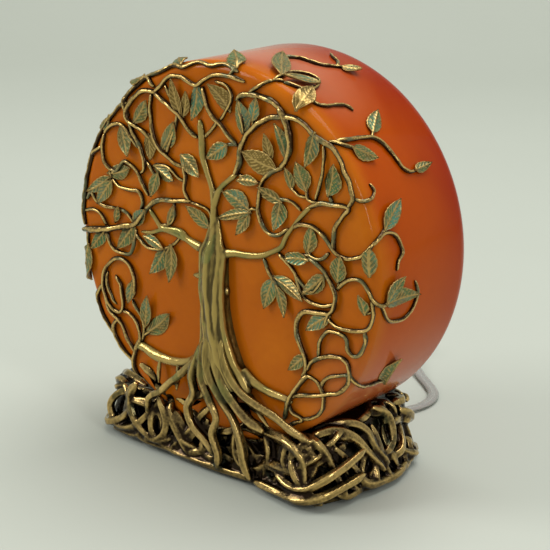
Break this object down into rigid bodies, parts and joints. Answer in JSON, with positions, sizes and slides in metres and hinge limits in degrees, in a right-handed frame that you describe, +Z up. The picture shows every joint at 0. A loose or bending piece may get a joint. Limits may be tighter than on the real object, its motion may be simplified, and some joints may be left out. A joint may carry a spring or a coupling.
{
  "type": "table lamp",
  "caption": "Accent lamp: a drum shade stands on edge in a tangled root base, with a sculpted tree, curling vines and leaves wrapped over its face and sides.",
  "frame": {"origin": "on the table, below the middle of the lamp without its cord", "axes": "+Z up, -Y the way the drum's flat face looks, +X to the right of someone facing it"},
  "size_m": [0.2316, 0.1892, 0.184],
  "materials": {
    "amber_glass": "glossy translucent amber glass",
    "bark": "satin bronze and green patina",
    "vine": "satin bronze with green patina",
    "root": "dark bronze with gold on the high edges",
    "felt": "matt felt",
    "cream_plastic": "satin",
    "brass": "polished",
    "steel": "bright",
    "bulb_glass": "frosted",
    "dark_rubber": "matt",
    "clear_flex": "clear",
    "ivory_plastic": "satin"
  },
  "bodies": {
    "lamp": {"shade_glass": "amber_glass", "tree_trunk": "bark", "vines_crown_left": "vine", "vines_crown_top": "vine", "vines_crown_right": "vine", "leaves_middle_right": "vine", "leaf_middle_left": "vine", "vines_right": "vine", "spray_left": "vine", "spray_right_low": "vine", "spray_right_high": "vine", "spray_top": "vine", "vines_left": "vine", "vines_left_low": "vine", "root_base": "root", "foot_1": "felt", "foot_2": "felt", "foot_3": "felt", "foot_4": "felt", "holder_body": "cream_plastic", "holder_shell": "brass", "holder_contact": "brass", "holder_clip_right": "steel", "holder_clip_left": "steel", "bulb_cap": "brass", "bulb_glass": "bulb_glass", "cord_grommet": "dark_rubber", "cord_inner": "clear_flex", "cord_relief": "dark_rubber", "cord_lead": "clear_flex", "cord_middle": "clear_flex", "cord_coil": "clear_flex", "cord_tie": "ivory_plastic", "cord_tail": "clear_flex", "switch_lower": "ivory_plastic", "switch_upper": "ivory_plastic", "switch_screw": "steel", "plug_body": "ivory_plastic", "plug_blade_left": "brass", "plug_blade_right": "brass"},
    "rocker": {"switch_rocker": "ivory_plastic"}
  },
  "joints": [
    {"name": "switch_rock", "type": "hinge", "parent": "lamp", "child": "rocker", "pos_m": [-0.048, 0.134, 0.012], "axis": [0, 1, 0], "range_deg": [0, 14]}
  ]
}
